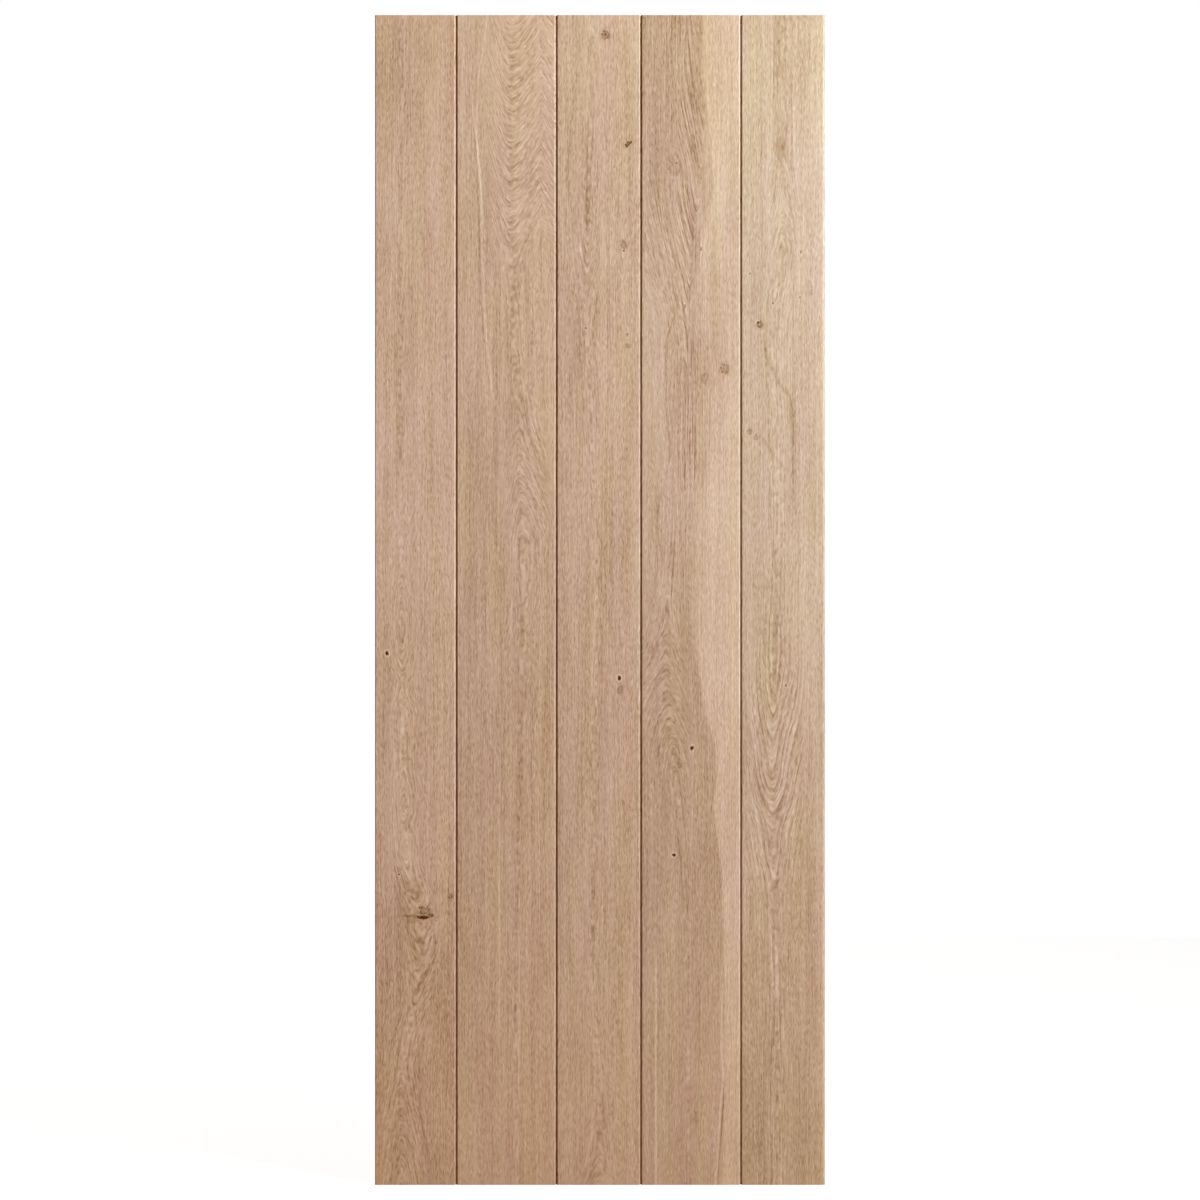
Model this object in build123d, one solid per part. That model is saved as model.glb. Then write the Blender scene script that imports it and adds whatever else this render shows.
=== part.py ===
from build123d import *
import os

# A ledged oak door leaf. Five upright boards are tongued and grooved together, with a V at every
# joint on both faces, and three level ledges across the back hold them. Countersunk screws go in
# from the back, through the ledges into the boards, and an oak pellet plugs each screw hole.
#
# X runs across the leaf, left to right as seen from the boarded front. Y runs from the front to the
# ledged back. Z runs up the boards. The origin is at the foot of the leaf, half-way across it, in
# the plane where the boards meet the ledges. All sizes are in millimetres.

# Leaf
LEAF_HEIGHT = 1981.0

# Width that each board covers, from joint line to joint line, in order from the left
LEFT_EDGE_COVER = 137.2
LEFT_WIDE_COVER = 169.5
CENTRE_COVER = 143.0
RIGHT_WIDE_COVER = 169.4
RIGHT_EDGE_COVER = 142.9

# Boards
BOARD_THICKNESS = 20.0
LEFT_ARRIS = 1.4  # eases the long outer edges on the left of the leaf
RIGHT_ARRIS = 4.0  # bevels those on the right
V_GROOVE_WIDTH = 6.0  # across the mouth of the V, at the face
V_GROOVE_DEPTH = 3.2
JOINT_GAP = 0.8  # left open between two shoulders, for the boards to swell into

# Tongues and the grooves that take them, half-way through the boards
TONGUE_LENGTH = 8.0
TONGUE_THICKNESS = 6.0
TONGUE_TIP_BEVEL = 1.0
TONGUE_CHEEK_CLEARANCE = 0.2
TONGUE_TIP_CLEARANCE = 1.0

# Ledges
LEDGE_WIDTH = 140.0
LEDGE_THICKNESS = 20.0
LEDGE_CHAMFER = 8.0  # round the back of each ledge
LEDGE_SETBACK = 20.0  # from each side of the leaf, so that it closes past the door stops
TOP_LEDGE_MARGIN = 170.0  # from the head of the leaf to the top ledge
BOTTOM_LEDGE_MARGIN = 200.0  # from the foot of the leaf to the bottom ledge

# Countersunk wood screws, two through each ledge into each board
SCREW_LENGTH = 25.0
SCREW_HEAD_DIAMETER = 8.4
SCREW_SHANK_DIAMETER = 4.2
SCREW_POINT_LENGTH = 5.0
SCREW_DRIVE_WIDTH = 2.6  # square socket in the head
SCREW_DRIVE_DEPTH = 1.8
SCREW_SIDES = 6  # flats that stand for the round of a screw and of its holes
SCREW_PILOT_CLEARANCE = 0.05  # round the screw in the boards, and under its head
SCREW_SHANK_CLEARANCE = 0.25  # round the shank in the ledges
SCREW_SPREAD_SHARES = (0.25, 0.75)  # of the width that a ledge and a board share
SCREW_RISE_SHARES = (0.7, 0.3)  # of the ledge's width, so that a pair stands on a slant

# Pellets that plug the screw holes, planed flush with the ledges
PELLET_DIAMETER = 10.0
PELLET_HOLE_DEPTH = 8.0
PELLET_CLEARANCE = 0.05
PELLET_HEAD_GAP = 0.3  # between a pellet and the screw head under it

CUT_OVERRUN = 2.0  # how far a cutter passes the face that it opens

# Places that follow from the sizes above
COVERS = {
    "left_edge_board": LEFT_EDGE_COVER,
    "left_wide_board": LEFT_WIDE_COVER,
    "centre_board": CENTRE_COVER,
    "right_wide_board": RIGHT_WIDE_COVER,
    "right_edge_board": RIGHT_EDGE_COVER,
}
LEAF_WIDTH = sum(COVERS.values())
LEAF_LEFT = -LEAF_WIDTH / 2
LEAF_RIGHT = LEAF_WIDTH / 2

FRONT = -BOARD_THICKNESS
BACK = 0
MIDDLE = (FRONT + BACK) / 2

LEDGE_LEFT = LEAF_LEFT + LEDGE_SETBACK
LEDGE_RIGHT = LEAF_RIGHT - LEDGE_SETBACK
TOP_LEDGE_CENTRE = LEAF_HEIGHT - TOP_LEDGE_MARGIN - LEDGE_WIDTH / 2
BOTTOM_LEDGE_CENTRE = BOTTOM_LEDGE_MARGIN + LEDGE_WIDTH / 2
LEDGE_CENTRES = {
    "top_ledge": TOP_LEDGE_CENTRE,
    "middle_ledge": (TOP_LEDGE_CENTRE + BOTTOM_LEDGE_CENTRE) / 2,
    "bottom_ledge": BOTTOM_LEDGE_CENTRE,
}

SHOULDER = JOINT_GAP / 2
HEAD_RADIUS = SCREW_HEAD_DIAMETER / 2
SHANK_RADIUS = SCREW_SHANK_DIAMETER / 2
PELLET_HOLE_RADIUS = PELLET_DIAMETER / 2
HEAD_SEAT = LEDGE_THICKNESS - PELLET_HOLE_DEPTH  # where the top of each screw head lies in Y


# Board edges. Each is a list of (inset, y) from the front face to the back, where the inset is
# measured into the board from its joint line, or from the side of the leaf.
def square_edge(arris):
    return [
        (arris, FRONT),
        (0, FRONT + arris),
        (0, BACK - arris),
        (arris, BACK),
    ]


def v_jointed(middle):
    """A V at each face, down to the shoulders, with a tongue or a groove between them."""
    mouth = V_GROOVE_WIDTH / 2
    front_v = [(mouth, FRONT), (SHOULDER, FRONT + V_GROOVE_DEPTH)]
    back_v = [(SHOULDER, BACK - V_GROOVE_DEPTH), (mouth, BACK)]
    return front_v + middle + back_v


def tongued_edge():
    tip = SHOULDER - TONGUE_LENGTH
    neck = tip + TONGUE_TIP_BEVEL
    front_cheek = MIDDLE - TONGUE_THICKNESS / 2
    back_cheek = MIDDLE + TONGUE_THICKNESS / 2
    return v_jointed(
        [
            (SHOULDER, front_cheek),
            (neck, front_cheek),
            (tip, front_cheek + TONGUE_TIP_BEVEL),
            (tip, back_cheek - TONGUE_TIP_BEVEL),
            (neck, back_cheek),
            (SHOULDER, back_cheek),
        ]
    )


def grooved_edge():
    tongue_reach = TONGUE_LENGTH - SHOULDER
    floor = tongue_reach + TONGUE_TIP_CLEARANCE
    half_width = TONGUE_THICKNESS / 2 + TONGUE_CHEEK_CLEARANCE
    return v_jointed(
        [
            (SHOULDER, MIDDLE - half_width),
            (floor, MIDDLE - half_width),
            (floor, MIDDLE + half_width),
            (SHOULDER, MIDDLE + half_width),
        ]
    )


def board(left, right):
    """One board between two joint lines, run off as a moulding and cut to the leaf's height."""
    left_edge = square_edge(LEFT_ARRIS) if left == LEAF_LEFT else grooved_edge()
    right_edge = square_edge(RIGHT_ARRIS) if right == LEAF_RIGHT else tongued_edge()
    outline = [(left + inset, y) for inset, y in left_edge]
    outline += [(right - inset, y) for inset, y in reversed(right_edge)]
    section = make_face(Polyline(*outline, close=True))
    return extrude(section, LEAF_HEIGHT, dir=(0, 0, 1))


def ledge(centre):
    """One ledge on the back of the boards, chamfered all round its back face."""
    length = LEDGE_RIGHT - LEDGE_LEFT
    middle = ((LEDGE_LEFT + LEDGE_RIGHT) / 2, BACK + LEDGE_THICKNESS / 2, centre)
    block = Pos(*middle) * Box(length, LEDGE_THICKNESS, LEDGE_WIDTH)
    back_face = block.faces().sort_by(Axis.Y)[-1]
    return chamfer(back_face.edges(), LEDGE_CHAMFER)


# Screws, pellets and their holes lie along Y, with the top of the screw head at zero and the point
# towards the front. Sizes across a screw are taken across its corners.
def across(y):
    return Plane(origin=(0, y, 0), x_dir=(1, 0, 0), z_dir=(0, 1, 0))


def round_bar(radius, start, end):
    return extrude(across(start) * Circle(radius), end - start)


def flat_sided(stations):
    """A bar through (radius, y) stations, flat-sided all round, with a point where the radius is zero."""
    sections = [
        across(y) * RegularPolygon(radius, SCREW_SIDES) if radius else Vertex(0, y, 0)
        for radius, y in stations
    ]
    return loft(sections, ruled=True)


def screw_envelope(clearance):
    """A screw's outer shape, enlarged by the clearance: its hole in a board."""
    head = HEAD_RADIUS + clearance
    shank = SHANK_RADIUS + clearance
    return flat_sided(
        [
            (head, 0),
            (shank, shank - head),
            (shank, SCREW_POINT_LENGTH - SCREW_LENGTH),
            (0, -SCREW_LENGTH - clearance),
        ]
    )


def screw():
    """A screw with a square socket, whose cutter stands half above the head."""
    socket = Box(SCREW_DRIVE_WIDTH, 2 * SCREW_DRIVE_DEPTH, SCREW_DRIVE_WIDTH)
    return screw_envelope(0) - socket


def screw_passage():
    """A countersink for the screw head, and a clearance hole from it through the ledge."""
    head = HEAD_RADIUS + SCREW_PILOT_CLEARANCE
    shank = SHANK_RADIUS + SCREW_SHANK_CLEARANCE
    return flat_sided([(head, 0), (shank, shank - head), (shank, -HEAD_SEAT - CUT_OVERRUN)])


def pellet_hole():
    return round_bar(PELLET_HOLE_RADIUS, 0, PELLET_HOLE_DEPTH + CUT_OVERRUN)


def pellet():
    return round_bar(PELLET_HOLE_RADIUS - PELLET_CLEARANCE, PELLET_HEAD_GAP, PELLET_HOLE_DEPTH)


def joint_lines():
    """The sides of the leaf and the joints between them, from left to right."""
    lines = [LEAF_LEFT]
    for cover in COVERS.values():
        lines.append(lines[-1] + cover)
    lines[-1] = LEAF_RIGHT
    return lines


def screw_places(left, right, centre):
    """Where the two screws of one board go in one ledge, within the width that the two share."""
    start = max(left, LEDGE_LEFT)
    width = min(right, LEDGE_RIGHT) - start
    foot = centre - LEDGE_WIDTH / 2
    return [
        Pos(start + spread * width, HEAD_SEAT, foot + rise * LEDGE_WIDTH)
        for spread, rise in zip(SCREW_SPREAD_SHARES, SCREW_RISE_SHARES)
    ]


def build():
    """Every named piece of the leaf."""
    lines = joint_lines()
    spans = dict(zip(COVERS, zip(lines, lines[1:])))
    pieces = {name: board(left, right) for name, (left, right) in spans.items()}
    for ledge_name, centre in LEDGE_CENTRES.items():
        all_places = []
        for board_name, (left, right) in spans.items():
            places = screw_places(left, right, centre)
            pieces[board_name] -= [
                place * screw_envelope(SCREW_PILOT_CLEARANCE) for place in places
            ]
            all_places += places
        pellet_holes = [place * pellet_hole() for place in all_places]
        passages = [place * screw_passage() for place in all_places]
        pieces[ledge_name] = ledge(centre) - pellet_holes - passages
        screws = [place * screw() for place in all_places]
        pellets = [place * pellet() for place in all_places]
        pieces[ledge_name + "_screws"] = Compound(children=screws)
        pieces[ledge_name + "_pellets"] = Compound(children=pellets)
    return pieces


os.makedirs("parts", exist_ok=True)
for piece_name, piece in build().items():
    export_step(piece, f"parts/{piece_name}.step")
    print(piece_name, "volume", round(piece.volume), "mm3")
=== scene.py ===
# %% [markdown]
# # Dressing an oak door leaf
#
# The leaf is five upright oak boards, tongued and grooved together and held by three ledges at the
# back. Its solid model is already exact, so this lesson adds no shape to it.
# What makes the leaf look real is the wood: every board was cut from another part of a trunk, so
# every board has its own figure, knots and tone.
#
# The lesson loads the solids, sets up a few helpers, builds oak from the way a tree grows, gives
# each board its own figure, and then lights the leaf like a catalogue picture.

# %% Load the leaf
import math
from types import SimpleNamespace

import bpy
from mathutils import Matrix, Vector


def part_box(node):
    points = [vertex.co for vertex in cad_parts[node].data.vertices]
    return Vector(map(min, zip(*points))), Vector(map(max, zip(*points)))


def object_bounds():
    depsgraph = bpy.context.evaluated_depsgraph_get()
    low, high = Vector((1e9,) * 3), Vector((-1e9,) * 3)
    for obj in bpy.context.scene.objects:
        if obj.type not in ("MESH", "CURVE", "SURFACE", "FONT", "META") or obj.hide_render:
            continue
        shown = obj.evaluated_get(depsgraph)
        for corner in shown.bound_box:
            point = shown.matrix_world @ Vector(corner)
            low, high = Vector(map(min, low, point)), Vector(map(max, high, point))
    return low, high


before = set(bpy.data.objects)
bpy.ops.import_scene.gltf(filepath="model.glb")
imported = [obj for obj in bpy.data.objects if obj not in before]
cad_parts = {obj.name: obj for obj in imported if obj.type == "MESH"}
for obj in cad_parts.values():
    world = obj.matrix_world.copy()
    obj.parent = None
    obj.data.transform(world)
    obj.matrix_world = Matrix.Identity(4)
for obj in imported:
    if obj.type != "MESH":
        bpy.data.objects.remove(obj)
solid_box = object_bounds()

LEAF_LOW, LEAF_HIGH = solid_box
LEAF_MIDDLE = (LEAF_LOW + LEAF_HIGH) / 2
MM = 0.001
leaf_size = (LEAF_HIGH - LEAF_LOW) / MM
print(f"leaf {leaf_size.x:.0f} mm wide and {leaf_size.z:.0f} mm high, {len(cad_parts)} nodes")

# %% [markdown]
# ## Two small helpers
#
# Colours are written as a screen shows them, in sRGB hex, but a renderer adds light in linear
# values, so one function converts them. Node trees are long, so another function adds a node, sets it
# up and links it in one line. Passing a node where a socket is expected uses its first output.


# %% Colour and node helpers
def linear(hex_colour):
    """An sRGB hex colour as a linear RGBA colour."""
    shares = [int(hex_colour[start : start + 2], 16) / 255 for start in (1, 3, 5)]
    return [s / 12.92 if s <= 0.04045 else ((s + 0.055) / 1.055) ** 2.4 for s in shares] + [1.0]


def add(tree, kind, inputs=(), **settings):
    """Adds a shader node with these settings, and fills or links its inputs, listed or by name."""
    node = tree.nodes.new("ShaderNode" + kind)
    for name, value in settings.items():
        setattr(node, name, value)
    for key, value in inputs.items() if isinstance(inputs, dict) else enumerate(inputs):
        if isinstance(value, bpy.types.Node):
            value = value.outputs[0]
        if isinstance(value, bpy.types.NodeSocket):
            tree.links.new(value, node.inputs[key])
        else:
            node.inputs[key].default_value = value
    return node


SOFT = {"interpolation_type": "SMOOTHSTEP"}  # a Map Range that starts and ends gently
WHITE = linear("#ffffff")
print("mid oak in linear light:", [round(value, 3) for value in linear("#c1a287")[:3]])

# %% [markdown]
# ## How oak gets its figure
#
# A trunk grows one ring a year round its pith, and a sawn face is a cut through those rings. If the
# pith ran dead straight, the cut would show straight lines. It wanders nearer to the face and away
# from it, and that draws the tall nested arches that joiners call cathedrals.
#
# The same can be done with numbers. For each point, work out its distance from a wandering pith line,
# and draw a line wherever that distance passes another ring. Three quantities that drift along the
# board steer it: where the pith stands across the board, how far it is in front of the face, which
# rounds the arches, and how many millimetres of rings the face has climbed through.
#
# A Float Curve node holds such a drift. It works on 0 to 1, so Map Range nodes go in and out of it.
# Its own rounding can overshoot between far stations, which would draw arches that aren't meant, so
# a line that never overshoots is worked out first and goes in as many short straight pieces.

# %% A quantity that drifts along a board
CURVE_PIECES = 40


def eased(stations, place):
    """The value at a place on a smooth line through (place, value) stations that never overshoots."""
    gaps = [right[0] - left[0] for left, right in zip(stations, stations[1:])]
    slopes = [(right[1] - left[1]) / gap for left, right, gap in zip(stations, stations[1:], gaps)]
    tangents = [slopes[0]]
    for before, after in zip(slopes, slopes[1:]):
        tangents.append(2 * before * after / (before + after) if before * after > 0 else 0.0)
    tangents.append(slopes[-1])
    piece = max(index for index, station in enumerate(stations[:-1]) if station[0] <= place)
    gap, start, end = gaps[piece], stations[piece][1], stations[piece + 1][1]
    share = (place - stations[piece][0]) / gap
    bend_in = share * (1 - share) ** 2 * gap * tangents[piece]
    bend_out = share**2 * (share - 1) * gap * tangents[piece + 1]
    return start + (end - start) * share**2 * (3 - 2 * share) + bend_in + bend_out


def drift(tree, along, stations):
    """A value that changes smoothly along the grain, from (place, value) stations in millimetres."""
    stations = sorted(stations)
    first, last = stations[0][0], stations[-1][0]
    low = min(value for _, value in stations)
    span = (max(value for _, value in stations) - low) or 1.0
    share = add(tree, "MapRange", [along, first, last])
    curve = add(tree, "FloatCurve", {1: share})
    curve.mapping.extend = "HORIZONTAL"
    points = curve.mapping.curves[0].points
    for index in range(CURVE_PIECES + 1):
        at = index / CURVE_PIECES
        height = (eased(stations, first + at * (last - first)) - low) / span
        if index in (0, CURVE_PIECES):
            points[0 if index == 0 else -1].location = (at, height)
        else:
            points.new(at, height)
    for point in points:
        point.handle_type = "VECTOR"
    curve.mapping.update()
    return add(tree, "MapRange", {0: curve, 3: low, 4: low + span}, clamp=False)


print("a drift from 0 to 10 stands at", eased([(0, 0), (100, 10)], 50), "half-way")

# %% [markdown]
# ## Noise with a size
#
# Pores, rays and streaks are soft noise, stretched along the grain. Blender's noise has one cell a
# unit, so dividing the place by a size in millimetres gives cells of that size. The cells stand in
# level rows, and long streaks that all end in one row would look woven. So the place is turned a
# little before the noise is drawn, which breaks the rows.

# %% Noise, colour ramps and masks
CELL_TURN = math.radians(34)


def grain_noise(tree, vector, size, detail=0.0):
    """Soft random cells of this size in millimetres, along the three axes of the vector."""
    scaled = add(tree, "VectorMath", [vector, size], operation="DIVIDE")
    turned = add(tree, "VectorRotate", {"Vector": scaled, "Angle": CELL_TURN}, rotation_type="Y_AXIS")
    return add(tree, "TexNoise", {"Vector": turned, "Scale": 1.0, "Detail": detail})


def ramp(tree, factor, stops):
    """A Color Ramp through (place, colour) stops."""
    node = add(tree, "ValToRGB", [factor])
    elements = node.color_ramp.elements
    for index, (at, colour) in enumerate(stops):
        if index in (0, len(stops) - 1):
            element = elements[0 if index == 0 else -1]
            element.position = at
        else:
            element = elements.new(at)
        element.color = colour
    return node


def most(tree, masks):
    """The largest of some masks."""
    top = masks[0]
    for mask in masks[1:]:
        top = add(tree, "Math", [top, mask], operation="MAXIMUM")
    return top


# %% [markdown]
# ## Knots
#
# A knot is the foot of a branch. It is darker and denser than the wood round it, its edge is frayed,
# a brown stain surrounds it, and the rings of the trunk flow round it. All knots share one node
# group, which measures how far a point is from the knot in knot sizes. It gives a dark core, a darker
# rim, a stain, a ring for the painted highlight round a speck, and a swirl that is added to the ring
# distance, so the figure bends.

# %% The knot node group
# Where each part of a knot starts and ends, in half-widths of the knot.
CORE_EDGE = (0.7, 1.05)
RIM_PLACE, RIM_FADE = 0.8, (0.1, 0.35)
STAIN_EDGE = (0.7, 2.3)
# The pale ring round a speck, for a painted highlight.
HIGHLIGHT_PLACE, HIGHLIGHT_FADE = 1.5, (0.1, 0.6)
SWIRL_FALL = -0.3  # how fast the swirl dies away, with the square of the distance


def knot_group():
    group = bpy.data.node_groups.new("oak_knot", "ShaderNodeTree")
    sockets = {"Point": "Vector", "Place": "Vector", "Size": "Vector", "Fray": "Vector"}
    for name, kind in {**sockets, "Slant": "Float", "Patchy": "Float"}.items():
        group.interface.new_socket(name, in_out="INPUT", socket_type="NodeSocket" + kind)
    given = group.nodes.new("NodeGroupInput").outputs

    # Distance from the knot in knot sizes, leaning if the branch leaned, once smooth and once frayed.
    offset = add(group, "VectorMath", [given["Point"], given["Place"]], operation="SUBTRACT")
    parts = add(group, "SeparateXYZ", [offset]).outputs
    leaning = add(group, "Math", [parts["Z"], given["Slant"], parts["X"]], operation="MULTIPLY_ADD")
    upright = add(group, "CombineXYZ", {"X": leaning, "Z": parts["Z"]})
    in_sizes = add(group, "VectorMath", [upright, given["Size"]], operation="DIVIDE")
    frayed = add(group, "VectorMath", [given["Fray"], in_sizes], operation="ADD")
    ragged = add(group, "VectorMath", [frayed], operation="LENGTH").outputs["Value"]
    smooth = add(group, "VectorMath", [in_sizes], operation="LENGTH").outputs["Value"]

    def inside(distance, edge, **settings):
        return add(group, "MapRange", [distance, edge[0], edge[1], 1.0, 0.0], **settings)

    def ring_at(distance, place, fade):
        off = add(group, "Math", [distance, place], operation="SUBTRACT")
        return inside(add(group, "Math", [off], operation="ABSOLUTE"), fade, **SOFT)

    rim = ring_at(ragged, RIM_PLACE, RIM_FADE)
    square = add(group, "Math", [smooth, smooth], operation="MULTIPLY")
    falling = add(group, "Math", [square, SWIRL_FALL], operation="MULTIPLY")
    results = {
        "Core": inside(ragged, CORE_EDGE, **SOFT),
        "Rim": add(group, "Math", [rim, given["Patchy"]], operation="MULTIPLY"),
        "Stain": inside(ragged, STAIN_EDGE, interpolation_type="SMOOTHERSTEP"),
        "Swirl": add(group, "Math", [falling], operation="EXPONENT"),
        "Highlight": ring_at(smooth, HIGHLIGHT_PLACE, HIGHLIGHT_FADE),
    }
    for name in results:
        group.interface.new_socket(name, in_out="OUTPUT", socket_type="NodeSocketFloat")
    leave = group.nodes.new("NodeGroupOutput")
    for name, node in results.items():
        group.links.new(node.outputs[0], leave.inputs[name])
    return group


KNOT = knot_group()
print("knot group made, with", len(KNOT.nodes), "nodes")

# %% [markdown]
# ## Oak, planed and sanded
#
# The material is made in the order in which a tree makes its wood: rings, knots, grain, tone, colour.
# Each step is a function that adds its nodes, and hands on what it found in a small box of names.
#
# First comes where a point lies in the board: how far across it, behind its face and along its grain.
# This is read from the solid, so the figure runs through the wood and round its edges.

# %% Where a point lies in the wood
RING_WIDTH = 5.0
FRONT_FACE = -20.0

# What a figure has unless it says otherwise. All boards get a painted light cast, yellower at the head.
COMMON_FIGURE = {
    "axes": "XYZ",
    "face": FRONT_FACE,
    "spread": (1.0, 1.0),
    "ring_width": [(0, RING_WIDTH), (1, RING_WIDTH)],
    "painted_light_cast": [
        (0, 0.4), (150, 0.45), (300, 0.65), (600, 0.85), (900, 0.88), (1100, 0.78), (1350, 0.6),
        (1600, 0.5), (1750, 0.35), (1860, 0.16), (1981, 0.08),
    ],
    "eyes": [],
    "knots": [],
    "zones": [],
    "bundles": [],
}


def blank_material(name):
    """A material with an empty node tree."""
    material = bpy.data.materials.new(name)
    material.use_nodes = True
    material.node_tree.nodes.clear()
    return material


def in_millimetres(tree):
    """The place on the solid, in millimetres."""
    place = add(tree, "TexCoord").outputs["Object"]
    return add(tree, "VectorMath", {0: place, 3: 1 / MM}, operation="SCALE")


def start_wood(name, figure):
    """An empty material with the place of a point in the board."""
    material = blank_material(name)
    tree = material.node_tree
    wood = SimpleNamespace(material=material, tree=tree, figure={**COMMON_FIGURE, **figure})
    axes = add(tree, "SeparateXYZ", [in_millimetres(tree)]).outputs
    wood.across, depth, wood.along = (axes[letter] for letter in wood.figure["axes"])
    wood.behind = add(tree, "Math", [depth, wood.figure["face"]], operation="SUBTRACT")
    wood.point = add(tree, "CombineXYZ", {"X": wood.across, "Y": wood.behind, "Z": wood.along})
    return wood


def figured(wood, key):
    """One of the drifts of the board's figure."""
    return drift(wood.tree, wood.along, wood.figure[key])


# %% [markdown]
# ### Rings
#
# The distance from the pith is measured as in the sawn trunk, and wanders a little everywhere. Beyond
# the reach of the arches it isn't used: there the grain is plain and runs straight up the board.

# %% Rings
WANDER_SIZE = (60.0, 60.0, 240.0)
RIPPLE_SIZE = (8.0, 16.0, 18.0)


def find_rings(wood):
    """Finds the distance from the pith, and where the grain is plain."""
    tree, figure = wood.tree, wood.figure
    far = figure["wander"]
    wander = grain_noise(tree, wood.point, WANDER_SIZE)
    wood.shift = add(tree, "MapRange", {0: wander, 3: -far, 4: far}, clamp=False)
    ripple = grain_noise(tree, wood.point, RIPPLE_SIZE)
    sway = add(tree, "Math", [ripple, 0.5], operation="SUBTRACT")
    wood.waver = add(tree, "Math", [sway, figured(wood, "ripple")], operation="MULTIPLY")

    # How far to the left or right of the heart line. A fold mirrors the right side.
    offset = add(tree, "Math", [wood.across, figured(wood, "heart")], operation="SUBTRACT")
    left = add(tree, "Math", [offset, 0.0], operation="MINIMUM")
    right = add(tree, "Math", [offset, 0.0], operation="MAXIMUM")
    if "fold" in figure:
        right = add(tree, "Math", [right, figured(wood, "fold")], operation="PINGPONG")
    left_spread, right_spread = figure["spread"]
    left = add(tree, "Math", [left, left_spread], operation="MULTIPLY")
    side = add(tree, "Math", [right, right_spread, left], operation="MULTIPLY_ADD")

    aside = add(tree, "Math", [side], operation="ABSOLUTE")
    in_reach = add(tree, "Math", [aside, figured(wood, "reach")], operation="DIVIDE")
    wood.plain = add(tree, "MapRange", [in_reach, 0.7, 1.3], **SOFT)
    if "straight_right" in figure:
        beside = add(tree, "MapRange", [offset, -4.0, 8.0], **SOFT)
        calm = figured(wood, "straight_right")
        calm = add(tree, "Math", [beside, calm], operation="MULTIPLY")
        wood.plain = add(tree, "Math", [wood.plain, calm], operation="MAXIMUM")

    roundness = figured(wood, "roundness")
    pith_depth = add(tree, "Math", [wood.behind, roundness], operation="ADD")
    section = add(tree, "CombineXYZ", {"X": side, "Y": pith_depth})
    from_pith = add(tree, "VectorMath", [section], operation="LENGTH").outputs["Value"]
    ring = add(tree, "Math", [from_pith, roundness], operation="SUBTRACT")
    for extra in (figured(wood, "climb"), wood.shift, wood.waver):
        ring = add(tree, "Math", [ring, extra], operation="ADD")
    wood.ring = ring


# %% [markdown]
# ### Knots and eyes
#
# Each knot bends the rings round it and leaves masks for its dark and stained parts. An eye is a
# swirl without a knot, where the sawn face only just passes a bump in the trunk.

# %% Knots and eyes
TATTER_SIZE = (3.5, 3.5, 4.5)
FRAY = 1.5  # how far noise pushes the edge of a knot, in knot sizes
SPECK_WIDTH = 7.0  # knots under this width are dark all through


def set_knots(wood):
    """Bends the rings round the eyes and knots, and keeps masks for the parts of the knots."""
    tree = wood.tree

    def bend(x, z, wide, tall, swirl, **more):
        where = {"Place": (x, 0.0, z), "Size": (wide / 2, 1.0, tall / 2), **more}
        node = add(tree, "Group", {"Point": wood.point, **where}, node_tree=KNOT)
        bent = [node.outputs["Swirl"], swirl, wood.ring]
        wood.ring = add(tree, "Math", bent, operation="MULTIPLY_ADD")
        return node.outputs

    for eye in wood.figure["eyes"]:
        bend(*eye)
    tatter = grain_noise(tree, wood.point, TATTER_SIZE, detail=1.0)
    around = add(tree, "VectorMath", [tatter.outputs["Color"], (0.5, 0.5, 0.5)], operation="SUBTRACT")
    fray = add(tree, "VectorMath", [around, (FRAY, 0.0, FRAY)], operation="MULTIPLY")
    patchy = add(tree, "MapRange", [tatter, 0.36, 0.56], **SOFT)
    wood.masks = {"Core": [], "Rim": [], "Stain": [], "Highlight": []}
    for x, z, wide, tall, dark, swirl, *lean in wood.figure["knots"]:
        slant = lean[0] if lean else 0.0
        knot = bend(x, z, wide, tall, swirl, Slant=slant, Fray=fray, Patchy=patchy)
        speck = wide < SPECK_WIDTH
        # Specks get a ring of painted highlight round them instead of a stain.
        around_it = "Highlight" if speck else "Stain"
        parts = {"Core": "Core", "Rim": "Core" if speck or dark > 1 else "Rim", around_it: around_it}
        for mask, part in parts.items():
            share = [knot[part], min(dark, 1.0)]
            wood.masks[mask].append(add(tree, "Math", share, operation="MULTIPLY"))


# %% [markdown]
# ### Grain
#
# Pores are thin dark dashes along the grain, rays are short pale dashes, and broader streaks come
# from how the tree fed itself. They are laid out in grain space: one axis is the ring distance and
# one the length of the board, so stretched noise follows the arches instead of crossing them. The
# third axis runs across, or the two sides of an arch would mirror each other.

# %% Grain
# Across, into and along the grain. Real pores are 0.3 mm wide and rays 0.5 mm, too fine to show on a
# whole leaf, so both are drawn several times as wide.
GRAIN_SIZES = {
    "pore": (1.9, 8.0, 9.0),
    "ray": (1.9, 9.0, 13.0),
    "fine_streak": (1.9, 24.0, 60.0),
    "streak": (2.9, 40.0, 420.0),
    "bundle": (2.2, 22.0, 110.0),
}
LANE_SIZE = (13.0, 40.0, 420.0)
PATCH_SIZE = (50.0, 60.0, 190.0)


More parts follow.
